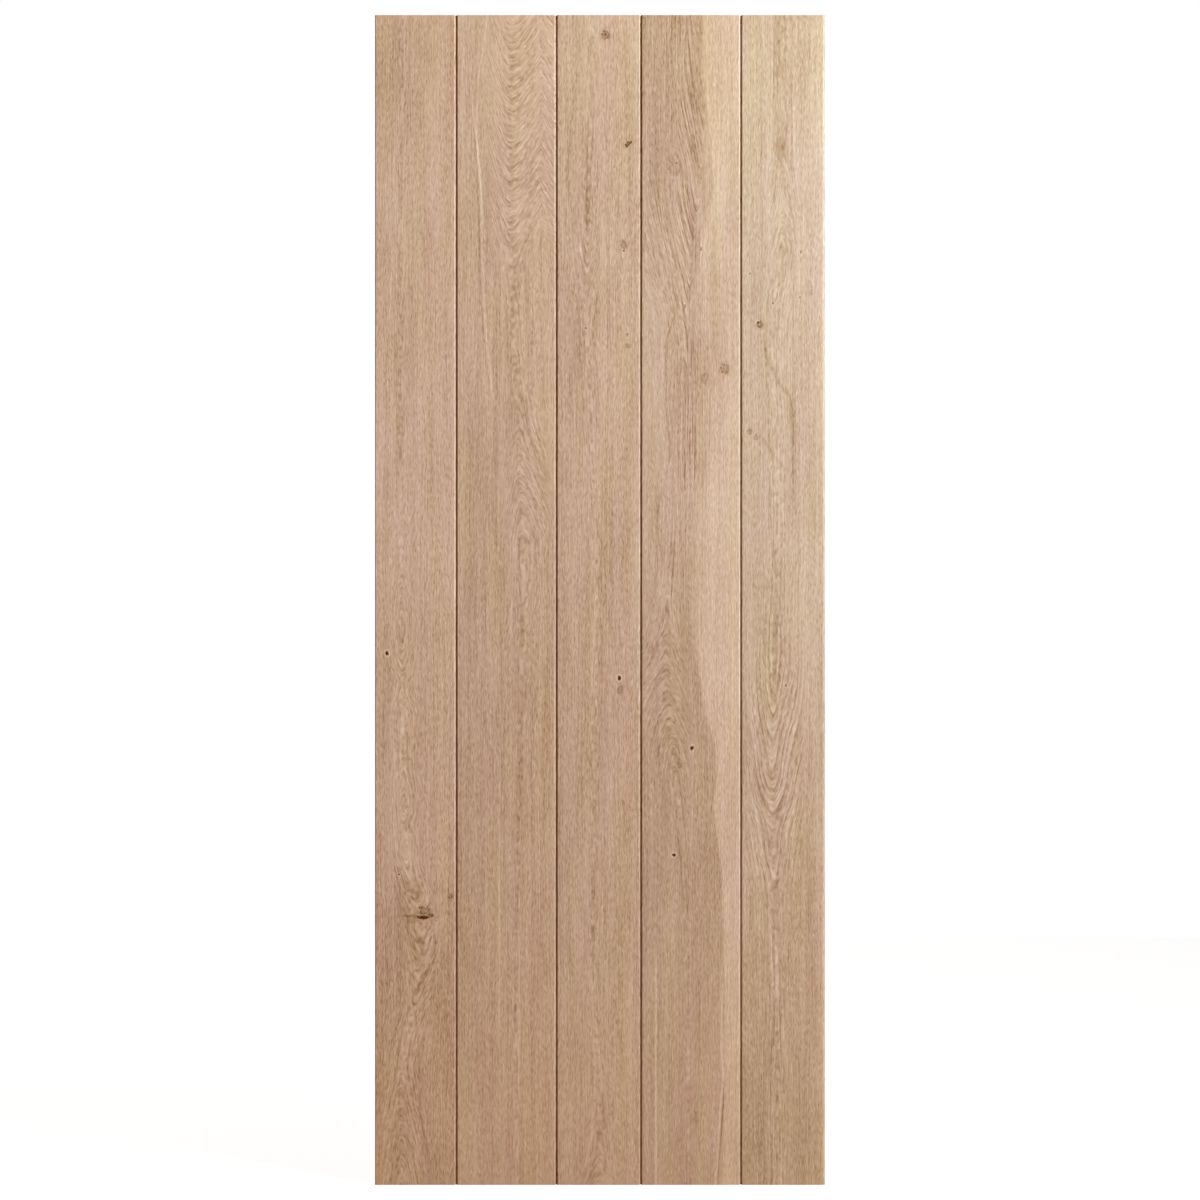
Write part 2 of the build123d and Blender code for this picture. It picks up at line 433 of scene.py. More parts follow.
def lay_grain(wood):
    """Lays dashes and streaks along the arches, and straight up the board where it is plain."""
    tree = wood.tree
    sideways = add(tree, "Math", [wood.across, wood.behind], operation="ADD")
    arched = add(tree, "CombineXYZ", {"X": wood.ring, "Y": sideways, "Z": wood.along})
    swayed = add(tree, "Math", [wood.across, wood.shift], operation="ADD")
    wood.upright = add(tree, "CombineXYZ", {"X": swayed, "Y": wood.behind, "Z": wood.along})
    layers = {}
    for name, size in GRAIN_SIZES.items():
        both = {2: grain_noise(tree, arched, size), 3: grain_noise(tree, wood.upright, size)}
        layers[name] = add(tree, "Mix", {0: wood.plain, **both}, data_type="FLOAT")
    layers["pore"] = add(tree, "MapRange", [layers["pore"], 0.5, 0.66])
    layers["ray"] = add(tree, "MapRange", [layers["ray"], 0.52, 0.7])
    layers["lane"] = grain_noise(tree, wood.upright, LANE_SIZE)
    layers["patch"] = grain_noise(tree, wood.point, PATCH_SIZE, detail=2.0)
    wood.layers = layers


# %% [markdown]
# ### Tone
#
# Rings show as bands, since the wood of spring is full of open pores and the wood of summer is dense
# and paler. Bands, dashes and streaks add up to one tone. Dark or pale zones and bundles of streaks
# run along paths of their own, and sapwood, the outer wood of the trunk, is paler.

# %% Tone
RING_GREYS = ((0.0, 0.5), (0.14, 0.0), (0.34, 0.42), (0.78, 0.8), (0.92, 1.0), (1.0, 0.5))
UNEVEN_SIZE = (9.0, 1.0, 1.0)  # some years are wider than others
UNEVEN_SWING = 8.0
PLAIN_BANDS = 0.15  # what is left of the bands where the grain is plain
# How far the painted highlight round a speck lifts the tone.
PAINTED_HIGHLIGHT_LIFT = 0.3
SAPWOOD_LIFT = 0.38

# The value of each layer that leaves the tone as it is, and how strongly the layer moves the tone.
TONE_GAINS = {
    "pore": (0.2, -0.23),
    "ray": (0.2, 0.24),
    "fine_streak": (0.5, 0.5),
    "streak": (0.5, 0.32),
    "lane": (0.5, 0.28),
    "patch": (0.5, 0.36),
}


def ring_bands(wood):
    """The tone of the rings: a dark line of pores, then wood that gets paler until the next ring."""
    tree = wood.tree
    uneven = grain_noise(tree, add(tree, "CombineXYZ", {"X": wood.ring}), UNEVEN_SIZE)
    year = add(tree, "Math", [uneven, UNEVEN_SWING, wood.ring], operation="MULTIPLY_ADD")
    turn = add(tree, "Math", [year, figured(wood, "ring_width")], operation="DIVIDE")
    phase = add(tree, "Math", [turn], operation="FRACT")
    band = ramp(tree, phase, [(at, (grey, grey, grey, 1.0)) for at, grey in RING_GREYS])
    shown = add(tree, "Math", [band, -0.5], operation="ADD")
    vivid = add(tree, "MapRange", [uneven, 0.3, 0.7, 0.4, 1.6])
    in_arches = add(tree, "MapRange", {0: wood.plain, 3: 1.0, 4: PLAIN_BANDS})
    for share in (figured(wood, "contrast"), vivid, in_arches):
        shown = add(tree, "Math", [shown, share], operation="MULTIPLY")
    return shown


def near_path(wood, stations, fade, half_width):
    """A soft mask along a path that runs up the board, with a strength that fades along it."""
    tree = wood.tree
    line = drift(tree, wood.along, stations)
    aside = add(tree, "Math", [wood.across, line], operation="SUBTRACT")
    away = add(tree, "Math", [aside], operation="ABSOLUTE")
    near = add(tree, "MapRange", [away, half_width, 0.0], **SOFT)
    strength = drift(tree, wood.along, fade)
    return add(tree, "Math", [near, strength], operation="MULTIPLY")


def oak_tone(wood):
    """How pale the wood is, from 0 in the darkest pores, with 0.5 for its middle colour."""
    tree, figure = wood.tree, wood.figure
    paler = add(tree, "Math", [figured(wood, "shade"), 0.5], operation="ADD")
    tone = add(tree, "Math", [ring_bands(wood), paler], operation="ADD")
    for name, (rest, gain) in TONE_GAINS.items():
        swing = add(tree, "Math", [wood.layers[name], rest], operation="SUBTRACT")
        tone = add(tree, "Math", [swing, gain, tone], operation="MULTIPLY_ADD")

    swing = add(tree, "Math", [wood.layers["bundle"], 0.5], operation="SUBTRACT")
    for kind in ("zones", "bundles"):
        for stations, fade, half_width, gain in figure[kind]:
            there = near_path(wood, stations, fade, half_width)
            if kind == "bundles":
                there = add(tree, "Math", [there, swing], operation="MULTIPLY")
            tone = add(tree, "Math", [there, gain, tone], operation="MULTIPLY_ADD")

    # A painted highlight: a pale ring round each speck.
    if wood.masks["Highlight"]:
        painted_highlight = [most(tree, wood.masks["Highlight"]), PAINTED_HIGHLIGHT_LIFT, tone]
        tone = add(tree, "Math", painted_highlight, operation="MULTIPLY_ADD")

    wood.sapwood = None
    if "sapwood" in figure:
        edge, fade, soft = (drift(tree, wood.along, stations) for stations in figure["sapwood"])
        inside = add(tree, "Math", [wood.across, edge], operation="SUBTRACT")
        inner = add(tree, "Math", [inside, wood.waver], operation="ADD")
        in_fades = add(tree, "Math", [inner, soft], operation="DIVIDE")
        pale = add(tree, "MapRange", [in_fades, -1.0, 1.0], **SOFT)
        wood.sapwood = add(tree, "Math", [pale, fade], operation="MULTIPLY")
        lifted = [wood.sapwood, SAPWOOD_LIFT, tone]
        tone = add(tree, "Math", lifted, operation="MULTIPLY_ADD")
    return tone


# %% [markdown]
# ### Colour
#
# Darker oak is also redder: where red falls, green and blue fall faster. So one middle colour and the
# tone give every shade, from the brown of the pores to the cream of the rays. Slow changes from pink
# to yellow run over it, with a painted light cast that makes the head yellower. Knots and end grain
# have colours of their own, and the V slopes get painted highlight and painted shade.

# %% Colour
# Shares of a board's middle colour in red light, from its darkest pores to its palest rays, and how
# many times as fast each of red, green and blue changes.
RED_SHARES = (0.58, 0.82, 1.0, 1.15, 1.32, 1.48)
FALL_RATES = (1.0, 1.3, 1.72)
TONE_STEP = 0.25
HUE_SIZE = (28.0, 40.0, 330.0)

KNOT_HEART = linear("#452a10")
KNOT_WOOD = linear("#84623b")
STAIN, STAIN_SHARE = linear("#a57d54"), 0.5
END_GRAIN, END_GRAIN_SHARE = linear("#8f6d4e"), 0.45
# The V slopes get painted light and shade: a painted highlight on the slopes turned to the right, and
# painted shade on those turned to the left and on the bottom of a joint.
RIGHT_SLOPE_PAINTED_HIGHLIGHT = (0.5, 0.8, 1.03)  # hue, saturation and value of the V slopes turned to the right
LEFT_SLOPE_PAINTED_SHADE = (0.49, 1.6, 0.72)  # and of those turned to the left
GAP_FLOOR_PAINTED_SHADE = (0.49, 1.6, 0.7)  # and of the bottom of a joint
GAP_DEPTH = 3.6


def oak_colour(wood, tone):
    """Turns the tone into colour, and lays the knots and the cut edges over it."""
    tree, figure = wood.tree, wood.figure
    middle = linear(figure["body"])
    shades = [[m * share**rate for m, rate in zip(middle, FALL_RATES)] + [1.0] for share in RED_SHARES]
    steps = len(shades) - 1
    level = add(tree, "MapRange", {0: tone, 2: steps * TONE_STEP})
    colour = ramp(tree, level, [(index / steps, shade) for index, shade in enumerate(shades)])
    hue = grain_noise(tree, wood.point, HUE_SIZE)
    casts = [
        ramp(tree, hue, [(0.3, linear("#fffafa")), (0.7, linear("#fffef4"))]),
        # the second cast is a painted light cast, yellower at the head of every board
        ramp(tree, figured(wood, "painted_light_cast"), [(0.0, linear("#fff8ea")), (1.0, WHITE)]),
    ]
    if wood.sapwood:
        casts.append(ramp(tree, wood.sapwood, [(0.0, WHITE), (1.0, linear("#fffffa"))]))
    for cast in casts:
        blend = {0: 1.0, 6: colour, 7: cast}
        colour = add(tree, "Mix", blend, data_type="RGBA", blend_type="MULTIPLY").outputs[2]

    # Knots, and end grain, which the cut ends of the pores make darker.
    mixes = []
    if figure["knots"]:
        stain, core, rim = (most(tree, wood.masks[part]) for part in ("Stain", "Core", "Rim"))
        stain = add(tree, "Math", [stain, STAIN_SHARE], operation="MULTIPLY")
        mixes = [(stain, STAIN), (core, KNOT_WOOD), (rim, KNOT_HEART)]
    facing = add(tree, "SeparateXYZ", [add(tree, "NewGeometry").outputs["True Normal"]]).outputs
    square_on = add(tree, "Math", [facing[figure["axes"][2]]], operation="ABSOLUTE")
    cut_ends = add(tree, "MapRange", {0: square_on, 1: 0.6, 2: 0.9, 4: END_GRAIN_SHARE})
    for mask, tint in mixes + [(cut_ends, END_GRAIN)]:
        blend = {0: mask, 6: colour, 7: tint}
        colour = add(tree, "Mix", blend, data_type="RGBA").outputs[2]

    # The front V slopes come straight from the moulder. The slopes turned to the right, towards the key
    # lamp, get a painted highlight, paler and less saturated, and the slopes turned to the left and the
    # bottom of the joint get painted shade, a deeper and darker brown.
    fronted = add(tree, "MapRange", [facing["Y"], -0.3, -0.6])
    painted_slope_light_and_shade = []
    for turn, tint in ((1.0, RIGHT_SLOPE_PAINTED_HIGHLIGHT), (-1.0, LEFT_SLOPE_PAINTED_SHADE)):
        turned = add(tree, "Math", [facing["X"], turn], operation="MULTIPLY")
        painted_slope_light_and_shade.append((add(tree, "MapRange", [turned, 0.3, 0.6]), tint))
    painted_gap_shade = add(tree, "MapRange", [wood.behind, GAP_DEPTH, GAP_DEPTH + 0.5])
    for mask, tint in painted_slope_light_and_shade + [(painted_gap_shade, GAP_FLOOR_PAINTED_SHADE)]:
        shown = add(tree, "Math", [mask, fronted], operation="MULTIPLY")
        colour = add(tree, "HueSaturation", {**dict(enumerate(tint)), 3: shown, 4: colour})
    return colour


# %% [markdown]
# ### The finished surface
#
# Bare oak is matt. A low sheen, and pores that are a little rougher and deeper than the dense wood,
# keep it from looking like plastic.

# %% The oak material
OAK_IOR = 1.5
OAK_SHEEN = 0.12
OAK_ROUGHNESS = (0.52, 0.7)  # on the dense wood, and in the pores
PORE_DEPTH = 0.12


def oak(name, figure):
    """Planed oak with the figure of one board."""
    wood = start_wood(name, figure)
    tree = wood.tree
    find_rings(wood)
    set_knots(wood)
    lay_grain(wood)
    colour = oak_colour(wood, oak_tone(wood))
    dense, open_pores = OAK_ROUGHNESS
    rough = add(tree, "MapRange", {0: wood.layers["pore"], 3: dense, 4: open_pores})
    furrows = grain_noise(tree, wood.upright, GRAIN_SIZES["pore"])
    bump = add(tree, "Bump", {"Strength": 0.5, "Distance": PORE_DEPTH * MM, "Height": furrows})
    gloss = {"IOR": OAK_IOR, "Specular IOR Level": OAK_SHEEN, "Roughness": rough}
    shader = add(tree, "BsdfPrincipled", {"Base Color": colour, "Normal": bump, **gloss})
    add(tree, "OutputMaterial", {"Surface": shader})
    print(name, "with", len(tree.nodes), "nodes and", len(wood.figure["knots"]), "knots")
    return wood.material


def dress(node, material):
    """Puts a material in the slot of one solid."""
    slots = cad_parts[node].data.materials
    slots.clear()
    slots.append(material)


def dress_in_oak(node, figure):
    """Gives one solid an oak of its own."""
    dress(node, oak("planed_oak_" + node, figure))


# %% [markdown]
# ## Five boards, five figures
#
# Each figure is written down as a joiner would describe it, in millimetres across the leaf from its
# middle and up from its foot. Most of it is drifts, as (place, value) stations up the board:
#
# - heart, roundness and climb steer the arches, which point up where the climb grows upwards.
# - reach is how far they go to each side, contrast how strongly they show, ripple how they waver.
# - shade makes the board paler or darker, and body is its middle colour.
#
# Spread stretches the arches to the left and right. Knots are (across, up, width, height, darkness,
# swirl, and lean if it leans), and eyes are the same without the darkness. Zones and bundles are (path,
# strength along it, half its width, tone), and sapwood is its edge, its strength and how soft it is.

# %% [markdown]
# ### Left edge board
#
# Faint arches at the foot, a knot with grain that sags under it like a bowl, wavering arches half-way
# up, and straight grain above.

# %% Left edge board
left_edge = {
    "heart": [
        (0, -336), (200, -337), (330, -310), (440, -302), (560, -330), (900, -336), (1300, -338),
        (1981, -334),
    ],
    "roundness": [
        (0, 4), (280, 6), (380, 20), (460, 24), (540, 6), (700, 3), (820, 6), (900, 5), (1060, 4),
        (1200, 2), (1981, 1),
    ],
    "climb": [
        (0, 2), (100, 20), (205, 38), (300, 38), (360, 28), (440, 14), (560, 8), (900, 10), (1200, 16),
        (1981, 0),
    ],
    "eyes": [
        (-334, 958, 24, 80, -16), (-331, 852, 46, 40, 11), (-327, 646, 26, 44, -10),
        (-326, 572, 24, 30, -8),
    ],
    "spread": (1.0, 0.9),
    "reach": [
        (0, 34), (200, 32), (330, 24), (460, 30), (560, 24), (850, 26), (1060, 20), (1150, 12),
        (1981, 10),
    ],
    "wander": 3.0,
    "ripple": [(0, 0.4), (450, 0.5), (600, 0.4), (820, 0.7), (1000, 0.4), (1200, 0.3), (1981, 0.3)],
    "contrast": [
        (0, 0.1), (250, 0.08), (360, 0.06), (430, 0.09), (560, 0.17), (700, 0.18), (840, 0.26),
        (960, 0.28), (1060, 0.15), (1200, 0.08), (1981, 0.07),
    ],
    "shade": [
        (0, -0.14), (240, -0.13), (370, -0.16), (470, -0.12), (540, -0.02), (640, -0.01), (840, -0.07),
        (940, -0.02), (1054, 0.04), (1265, 0.04), (1480, 0.0), (1680, 0.04), (1880, -0.03), (1981, -0.03),
    ],
    "body": "#c7ab98",
    "knots": [
        (-360.8, 900.6, 6, 8, 1.0, 3), (-299, 453, 24, 6, 1.2, 8), (-286, 457, 9, 6, 0.9, 0),
        (-296, 464, 20, 15, 0.5, 7), (-303, 470, 8, 4, 0.7, 0), (-321, 455, 26, 4, 0.45, 2),
        (-252.4, 489, 8, 10, 0.5, 4), (-340.5, 526, 3.5, 3.5, 0.9, 1), (-326, 612, 10, 22, 0.14, 5),
        (-330, 640, 12, 6, 0.12, 3),
    ],
    "zones": [
        ([(48, -291), (130, -304), (235, -307), (320, -317)],
         [(30, 0), (60, 1), (300, 1), (330, 0)], 3.0, -0.16),
        ([(1230, -338), (1450, -336), (1720, -340)],
         [(1200, 0), (1300, 1), (1650, 1), (1750, 0)], 12.0, -0.05),
        ([(1650, -334), (1750, -340)], [(1650, 0), (1690, 1), (1715, 1), (1750, 0)], 9.0, -0.12),
        ([(1440, -336), (1515, -338)], [(1440, 0), (1465, 1), (1490, 1), (1515, 0)], 8.0, -0.12),
        ([(1215, -335), (1325, -339)], [(1215, 0), (1250, 1), (1290, 1), (1325, 0)], 9.0, -0.12),
        ([(400, -312), (520, -336)], [(370, 0), (420, 1), (500, 1), (530, 0)], 24.0, -0.12),
        # A painted highlight: a small pale spot on the big knot.
        ([(460, -296), (474, -295)], [(460, 0), (464, 1), (470, 1), (474, 0)], 3.2, 0.7),
    ],
}
dress_in_oak("left_edge_board", left_edge)

# %% [markdown]
# ### Left wide board
#
# Straight grain with pale rays below, one clear arch half-way up, and at the head arches that point
# down and fold back on themselves.

# %% Left wide board
left_wide = {
    "heart": [
        (0, -143), (279, -144), (1066, -132), (1266, -139), (1400, -145), (1600, -151), (1981, -150),
    ],
    "roundness": [(0, 3), (800, 3), (1066, 13), (1300, 8), (1500, 10), (1620, 24), (1981, 26)],
    "climb": [
        (0, 62), (600, 62), (1000, 56), (1066, 51), (1110, 56), (1150, 66), (1200, 80), (1266, 97),
        (1330, 104), (1480, 107), (1560, 103), (1610, 92), (1700, 59), (1800, 21), (1900, -18),
        (1981, -49),
    ],
    "spread": (1.4, 0.85),
    "reach": [
        (0, 7), (980, 8), (1066, 25), (1150, 42), (1300, 42), (1400, 16), (1540, 18), (1620, 52),
        (1981, 58),
    ],
    "fold": [(0, 95), (1480, 95), (1620, 52), (1981, 50)],
    "wander": 2.5,
    "ripple": [
        (0, 0.3), (1050, 0.4), (1150, 0.8), (1280, 0.8), (1400, 0.4), (1550, 0.5), (1650, 2.0),
        (1981, 2.0),
    ],
    "ring_width": [(0, 6.4), (1440, 6.4), (1570, 4.2), (1981, 4.2)],
    "contrast": [
        (0, 0.06), (800, 0.06), (1100, 0.17), (1300, 0.16), (1420, 0.0), (1580, 0.0), (1660, 0.22),
        (1981, 0.22),
    ],
    "shade": [
        (0, 0.02), (300, -0.02), (600, -0.07), (1000, -0.05), (1400, 0.0), (1700, 0.05), (1880, 0.1),
        (1981, 0.12),
    ],
    "body": "#bfa491",
    "zones": [
        ([(1346, -183), (1473, -195), (1702, -203), (1800, -210), (1981, -191)],
         [(1300, 0), (1340, 0.7), (1400, 1), (1480, 0.7), (1580, 0.9), (1690, 1), (1790, 0.8),
          (1850, 0.2), (1920, 0.8), (1981, 0.6)], 3.2, 0.32),
        ([(1617, -196), (1669, -200), (1747, -207), (1866, -220)],
         [(1600, 0), (1650, 1), (1800, 1), (1880, 0)], 3.0, 0.26),
        ([(1346, -188), (1473, -200), (1702, -208), (1860, -215)],
         [(1380, 0), (1460, 1), (1760, 1), (1860, 0)], 3.0, -0.22),
        ([(1600, -151), (1981, -148)],
         [(1570, 0), (1640, 1), (1750, 0.9), (1800, 0.3), (1850, 1), (1950, 0.8), (1981, 0.4)], 20.0, -0.1),
        ([(930, -151), (1000, -149)], [(920, 0), (940, 1), (980, 1), (1000, 0)], 2.4, 0.3),
        ([(200, -171), (790, -171)], [(200, 0), (300, 0.8), (500, 1), (700, 0.8), (790, 0)], 2.6, 0.26),
        ([(110, -137), (450, -137)], [(110, 0), (180, 1), (380, 1), (450, 0)], 2.6, 0.24),
        ([(300, -160), (620, -157)], [(300, 0), (380, 0.8), (560, 0.8), (620, 0)], 2.4, 0.2),
    ],
    "bundles": [([(1100, -120), (1981, -120)], [(1100, 0), (1200, 1), (1981, 1)], 80.0, 0.25)],
}
dress_in_oak("left_wide_board", left_wide)

# %% [markdown]
# ### Centre board
#
# Mostly straight grain, with a string of small knots near its right side and darker curls at the head.

# %% Centre board
centre = {
    "heart": [(0, -2), (60, 0), (400, -12), (1000, -5), (1500, -22), (1981, -10)],
    "roundness": [(0, 12), (200, 4), (1000, 2), (1500, 4), (1981, 4)],
    "climb": [
        (0, 0), (60, 14), (300, 24), (700, 20), (1000, 30), (1450, 34), (1650, 12), (1800, 10),
        (1981, 22),
    ],
    "reach": [(0, 30), (120, 20), (300, 10), (1200, 10), (1400, 22), (1700, 24), (1800, 14), (1981, 16)],
    "wander": 3.5,
    "ripple": [(0, 0.6), (300, 0.3), (1100, 0.4), (1500, 0.8), (1981, 0.7)],
    "contrast": [(0, 0.12), (300, 0.08), (1000, 0.08), (1500, 0.09), (1981, 0.09)],
    "shade": [
        (0, 0.02), (300, -0.01), (600, -0.06), (950, -0.06), (1200, -0.04), (1700, -0.02), (1981, 0.02),
    ],
    "body": "#bda492",
    "knots": [
        (10.1, 1947, 14, 16, 0.55, 9), (9.5, 1948, 4, 5, 0.7, 0), (48, 1763, 9, 11, 1.0, 5, -0.7),
        (40.6, 1592, 11, 14, 0.45, 4), (40.6, 1582, 3, 4, 1.0, 0), (47.3, 1421, 8, 8, 0.35, 3),
        (46, 1440, 5, 8, 0.25, 0), (-23.8, 1451, 3, 4, 0.9, 0), (32.8, 858.5, 6.5, 8, 1.0, 4),
        (35, 839, 10, 20, 0.3, 2),
    ],
    "zones": [
        ([(1320, -50), (1430, -40), (1550, -38)],
         [(1300, 0), (1350, 1), (1500, 1), (1560, 0)], 12.0, -0.12),
        ([(1530, -20), (1620, -22), (1680, -26)],
         [(1500, 0), (1560, 1), (1640, 1), (1700, 0)], 16.0, -0.07),
        ([(1445, -53), (1575, -55)], [(1445, 0), (1490, 1), (1540, 1), (1575, 0)], 12.0, -0.08),
        ([(1640, -42), (1700, -55), (1800, -48), (1900, -40), (1981, -44)],
         [(1640, 0), (1700, 1), (1900, 0.8), (1981, 0.4)], 6.0, -0.14),
        ([(1480, -50), (1560, -40), (1620, -46), (1690, -34)],
         [(1480, 0), (1540, 1), (1650, 1), (1690, 0)], 5.0, -0.14),
        ([(1562, -29), (1598, -36)], [(1562, 0), (1572, 1), (1586, 1), (1598, 0)], 4.0, 0.3),
        ([(236, -9), (360, -10)], [(230, 0), (260, 1), (340, 1), (370, 0)], 3.5, -0.14),
        ([(694, -7), (715, -18), (733, -23)], [(690, 0), (700, 1), (725, 1), (735, 0)], 2.5, -0.2),
    ],
}
dress_in_oak("centre_board", centre)

# %% [markdown]
# ### Right wide board
#
# Sapwood fills its right side, with an edge that wanders. A dark patch stands where the grain flows
# past two knots, and the head is streaky.

# %% Right wide board
right_wide = {
    "heart": [
        (0, 150), (400, 150), (740, 125), (850, 112), (940, 112), (1060, 122), (1190, 140), (1330, 150),
        (1450, 148), (1600, 158), (1690, 168), (1800, 176), (1981, 172),
    ],
    "roundness": [
        (0, 2), (600, 2), (720, 6), (800, 11), (930, 9), (1000, 4), (1080, 1), (1450, 1), (1981, 2),
    ],
    "climb": [
        (0, 6), (560, 0), (700, 4), (760, 20), (930, 84), (1000, 90), (1400, 94), (1450, 90), (1690, 25),
        (1850, -6), (1981, -14),
    ],
    "spread": (0.9, 1.2),
    "reach": [
        (0, 8), (600, 8), (720, 30), (800, 40), (930, 40), (1000, 24), (1080, 0.5), (1400, 0.5),
        (1480, 60), (1550, 100), (1630, 100), (1720, 48), (1800, 40), (1880, 28), (1981, 20),
    ],
    "straight_right": [(0, 0), (1380, 0), (1450, 1), (1981, 1)],
    "wander": 3.0,
    "ripple": [(0, 0.3), (600, 0.3), (760, 0.8), (950, 0.8), (1100, 0.5), (1981, 0.5)],
    "contrast": [(0, 0.07), (600, 0.07), (760, 0.13), (950, 0.13), (1100, 0.1), (1981, 0.1)],
    "shade": [
        (0, 0.08), (200, 0.06), (420, 0.0), (600, -0.07), (840, -0.07), (1050, 0.02), (1265, 0.13),
        (1400, 0.09), (1600, 0.02), (1800, -0.09), (1981, -0.11),
    ],
    "body": "#b49c8a",
    "knots": [
        (211.6, 1382, 16, 18, 0.42, 7), (127, 1722, 22, 30, 0.16, 8), (130, 1730, 3.5, 4, 0.6, 0),
        (171, 1705, 3, 6, 0.35, 0), (171, 1585, 3, 8, 0.4, 0), (144, 1488, 4, 8, 0.3, 0),
        (177.7, 1366, 14, 18, 0.2, 5), (155.5, 740, 5.5, 8, 1.0, 4), (135.4, 711, 8, 10, 0.3, 3),
        (125.2, 558.7, 6, 6, 1.0, 2), (162.5, 115, 8, 24, 0.2, 2),
    ],
    "zones": [
        ([(1700, 77), (1880, 79)], [(1680, 0), (1740, 1), (1840, 1), (1900, 0)], 8.0, 0.14),
        ([(0, 94), (400, 95)], [(0, 1), (350, 1), (420, 0)], 3.4, 0.42),
        ([(0, 199), (60, 203), (110, 207), (175, 210)],
         [(0, 0.8), (60, 0.5), (100, 1), (140, 1), (180, 0)], 2.2, -0.55),
        ([(0, 196), (69, 200), (147, 205), (179, 208), (225, 206), (400, 207)],
         [(0, 1), (240, 1), (330, 0.6), (420, 0)], 3.4, 0.42),
        ([(1050, 106), (1126, 97), (1244, 118), (1329, 112), (1419, 112), (1480, 129)],
         [(1050, 0), (1080, 1), (1140, 1), (1200, 0.4), (1240, 1), (1450, 1), (1490, 0)], 2.8, -0.3),
        ([(1540, 122), (1700, 86)], [(1530, 0), (1580, 1), (1690, 1), (1720, 0)], 2.5, -0.16),
        ([(1495, 144), (1566, 161), (1608, 156), (1673, 135)],
         [(1480, 0), (1530, 1), (1640, 1), (1690, 0)], 11.0, -0.16),
        ([(1040, 126), (1150, 136), (1230, 152), (1363, 160), (1450, 158)],
         [(1040, 0), (1150, 0.4), (1260, 1), (1400, 1), (1460, 0)], 54.0, -0.25),
        ([(1100, 160), (1190, 172), (1280, 186), (1400, 183), (1470, 172)],
         [(1100, 0), (1200, 0.6), (1300, 1), (1420, 1), (1470, 0)], 3.0, -0.14),
        ([(1384, 212), (1392, 213)], [(1383, 0), (1386, 1), (1389, 1), (1392, 0)], 2.4, 0.5),
    ],
    "bundles": [
        ([(1600, 166), (1690, 180), (1800, 162), (1896, 142), (1981, 130)],
         [(1600, 0.4), (1680, 1), (1900, 1), (1981, 0.7)], 26.0, 0.6),
        ([(1440, 146), (1600, 136), (1800, 130), (1981, 124)],
         [(1420, 0), (1500, 1), (1900, 1), (1981, 0.6)], 70.0, 0.6),
        ([(1060, 124), (1190, 140), (1330, 156), (1440, 156)],
         [(1060, 0), (1180, 0.5), (1290, 1), (1400, 1), (1450, 0)], 48.0, 0.8),
        ([(1390, 140), (1560, 152), (1700, 146)],
         [(1370, 0), (1430, 1), (1600, 1), (1720, 0.4)], 30.0, 0.8),
        ([(920, 118), (1130, 128), (1240, 148), (1330, 150)],
         [(900, 0), (980, 1), (1280, 1), (1340, 0)], 32.0, 0.9),
    ],
    "sapwood": (
        [
            (0, 205), (170, 212), (380, 210), (437, 209), (515, 207), (580, 200), (631, 192), (663, 193),
            (700, 198), (753, 194), (787, 181), (940, 162), (1100, 166), (1250, 184), (1380, 170),
            (1498, 158), (1563, 163), (1613, 174), (1686, 194), (1747, 188), (1866, 177), (1981, 174),
        ],
        [
            (0, 0.6), (100, 0.65), (350, 0.9), (600, 1.0), (800, 1.0), (1000, 0.85), (1200, 0.55),
            (1450, 0.25), (1600, 0.5), (1800, 0.95), (1981, 1.0),
        ],
        [(0, 6), (300, 4), (600, 3), (850, 4), (980, 16), (1300, 18), (1480, 8), (1600, 5), (1981, 3)],
    ),
}
dress_in_oak("right_wide_board", right_wide)

# %% [markdown]
# ### Right edge board
#
# The boldest arches of the leaf, pointing down below the middle, then a dark line that crosses the
# grain to a knot, and quiet grain at the head.

